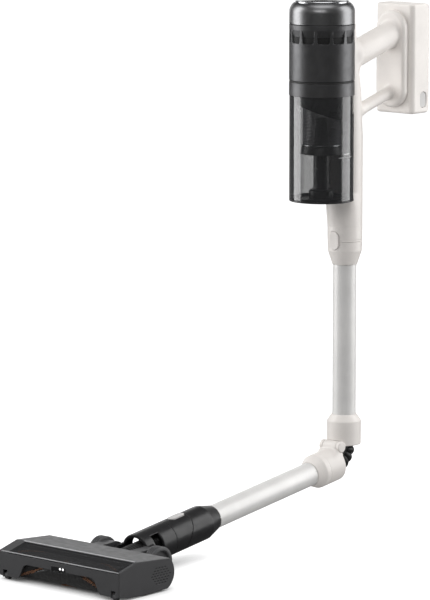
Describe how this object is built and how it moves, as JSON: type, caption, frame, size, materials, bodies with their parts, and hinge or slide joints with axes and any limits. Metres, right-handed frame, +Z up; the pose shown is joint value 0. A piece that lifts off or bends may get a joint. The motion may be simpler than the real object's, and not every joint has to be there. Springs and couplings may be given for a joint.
{
  "type": "cordless stick vacuum",
  "caption": "Cordless stick vacuum with a vertical motor and clear dust cup, grip, rear battery pack, wand folded at an elbow, and a floor head with a roller and rear wheels.",
  "frame": {"origin": "on the floor under the middle of the whole machine's bounding box, with the wand folded as stored", "axes": "+Z up, -Y the way the floor head is pushed, +X to the right for someone facing the front of the head"},
  "size_m": [0.21, 0.7135, 0.721],
  "materials": {
    "cream_shell": "satin moulded, off-white",
    "grey_button": "satin moulded, light grey",
    "housing_grey": "satin moulded, dark grey",
    "cap_gunmetal": "glossy gunmetal lacquer",
    "trim_silver": "polished",
    "lens_black": "glossy",
    "cup_clear": "smoke-tinted clear plastic",
    "cup_black": "glossy black",
    "mesh_steel": "perforated sheet",
    "seal_rubber": "matt",
    "filter_felt": "pleated felt",
    "motor_metal": "machined",
    "rotor_plastic": "moulded",
    "board_green": "fibreglass board",
    "cell_wrap": "wrapped cell",
    "tube_satin": "satin anodised",
    "hose_black": "corrugated",
    "connector_black": "satin black",
    "pin_steel": "ground",
    "head_grey": "fine texture",
    "window_smoke": "smoke-tinted",
    "lamp_clear": "clear",
    "roller_tube": "moulded",
    "bristle": "soft pile",
    "wheel_grey": "soft tread"
  },
  "bodies": {
    "main_unit": {"spine_shell": "cream_shell", "wand_collar": "cream_shell", "handle_grip": "cream_shell", "lower_strut": "cream_shell", "battery_bracket": "cream_shell", "motor_housing": "housing_grey", "exhaust_filter": "filter_felt", "motor_cap": "cap_gunmetal", "top_trim_ring": "trim_silver", "display_lens": "lens_black", "control_board": "board_green", "pre_motor_filter": "filter_felt", "motor_stator": "motor_metal", "motor_bearings": "motor_metal"},
    "fan": {"motor_shaft": "motor_metal", "impeller": "rotor_plastic"},
    "power_key": {"power_button": "grey_button"},
    "cup": {"dust_cup": "cup_clear", "cup_base": "cup_black", "cup_collar": "housing_grey", "cup_seal": "seal_rubber", "cyclone_shroud": "cup_black", "mesh_screen": "mesh_steel", "shroud_skirt": "cup_black", "cyclone_stem": "cup_black"},
    "cup_key": {"cup_release_button": "grey_button"},
    "battery": {"battery_case": "cream_shell", "battery_cells": "cell_wrap"},
    "battery_key_right": {"battery_button_right": "grey_button"},
    "battery_key_left": {"battery_button_left": "grey_button"},
    "wand_key": {"wand_release_button": "cream_shell"},
    "upper_wand": {"upper_tube": "tube_satin", "upper_socket": "cream_shell", "elbow_pin": "pin_steel"},
    "lower_wand": {"lower_socket": "cream_shell", "elbow_hose": "hose_black", "lower_tube": "tube_satin"},
    "connector": {"connector_collar": "connector_black", "connector_sleeve": "connector_black"},
    "connector_key": {"connector_button": "grey_button"},
    "neck": {"neck_fork": "connector_black", "neck_hose": "hose_black"},
    "head": {"head_chassis": "head_grey", "head_top_cover": "head_grey", "roller_window": "window_smoke", "front_bumper": "head_grey", "light_bar": "lamp_clear", "end_cap_right": "head_grey", "end_cap_left": "head_grey", "head_duct": "rotor_plastic", "brush_motor": "motor_metal", "drive_belt": "seal_rubber", "wheel_axles": "pin_steel"},
    "roller": {"roller_core": "roller_tube", "roller_bristles": "bristle"},
    "pulley": {"motor_pulley": "pin_steel"},
    "wheel_right": {"rear_wheel_right": "wheel_grey"},
    "wheel_left": {"rear_wheel_left": "wheel_grey"},
    "roll_right": {"caster_right": "wheel_grey"},
    "roll_left": {"caster_left": "wheel_grey"}
  },
  "joints": [
    {"name": "fan_spin", "type": "hinge", "parent": "main_unit", "child": "fan", "pos_m": [0, 0.1628, 0.64], "axis": [0, 0, 1], "continuous": true},
    {"name": "power_press", "type": "slide", "parent": "main_unit", "child": "power_key", "axis": [0, 0, -1], "range_m": [0, 0.0012], "stiffness_N_per_m": 400},
    {"name": "cup_removal", "type": "slide", "parent": "main_unit", "child": "cup", "axis": [0, -1, 0], "range_m": [0, 0.12]},
    {"name": "cup_key_press", "type": "slide", "parent": "cup", "child": "cup_key", "axis": [1, 0, 0], "range_m": [0, 0.0015], "stiffness_N_per_m": 400},
    {"name": "battery_removal", "type": "slide", "parent": "main_unit", "child": "battery", "axis": [0, 1, 0], "range_m": [0, 0.06]},
    {"name": "battery_key_right_press", "type": "slide", "parent": "battery", "child": "battery_key_right", "axis": [-1, 0, 0], "range_m": [0, 0.0014], "stiffness_N_per_m": 400},
    {"name": "battery_key_left_press", "type": "slide", "parent": "battery", "child": "battery_key_left", "axis": [1, 0, 0], "range_m": [0, 0.0014], "stiffness_N_per_m": 400},
    {"name": "wand_key_press", "type": "slide", "parent": "main_unit", "child": "wand_key", "axis": [0, 1, 0], "range_m": [0, 0.002], "stiffness_N_per_m": 400},
    {"name": "wand_removal", "type": "slide", "parent": "main_unit", "child": "upper_wand", "axis": [0, 0, -1], "range_m": [0, 0.075]},
    {"name": "elbow_fold", "type": "hinge", "parent": "upper_wand", "child": "lower_wand", "pos_m": [0, 0.1883, 0.10754], "axis": [1, 0, 0], "range_deg": [-8, 81.9], "deforming": ["elbow_hose"]},
    {"name": "head_removal", "type": "slide", "parent": "lower_wand", "child": "connector", "axis": [0, -0.99, -0.1407], "range_m": [0, 0.06]},
    {"name": "connector_key_press", "type": "slide", "parent": "connector", "child": "connector_key", "axis": [0, 0.1407, -0.99], "range_m": [0, 0.0012], "stiffness_N_per_m": 400},
    {"name": "neck_roll", "type": "hinge", "parent": "connector", "child": "neck", "pos_m": [0, -0.1553, 0.03375], "axis": [0, -0.99, -0.1407], "range_deg": [-80, 80]},
    {"name": "neck_pitch", "type": "hinge", "parent": "neck", "child": "head", "pos_m": [0, -0.222, 0.021], "axis": [1, 0, 0], "range_deg": [-75, 8], "deforming": ["neck_hose"]},
    {"name": "roller_spin", "type": "hinge", "parent": "head", "child": "roller", "pos_m": [0, -0.334, 0.02], "axis": [1, 0, 0], "continuous": true},
    {"name": "pulley_spin", "type": "hinge", "parent": "head", "child": "pulley", "pos_m": [0, -0.285, 0.022], "axis": [1, 0, 0], "continuous": true},
    {"name": "wheel_right_spin", "type": "hinge", "parent": "head", "child": "wheel_right", "pos_m": [0, -0.222, 0.021], "axis": [1, 0, 0], "continuous": true},
    {"name": "wheel_left_spin", "type": "hinge", "parent": "head", "child": "wheel_left", "pos_m": [0, -0.222, 0.021], "axis": [1, 0, 0], "continuous": true},
    {"name": "roll_right_spin", "type": "hinge", "parent": "head", "child": "roll_right", "pos_m": [0.094, -0.3504, 0.005], "axis": [1, 0, 0], "continuous": true},
    {"name": "roll_left_spin", "type": "hinge", "parent": "head", "child": "roll_left", "pos_m": [-0.094, -0.3504, 0.005], "axis": [1, 0, 0], "continuous": true}
  ],
  "couplings": [
    {"joint": "pulley_spin", "follows": "roller_spin", "ratio": 1.8}
  ]
}
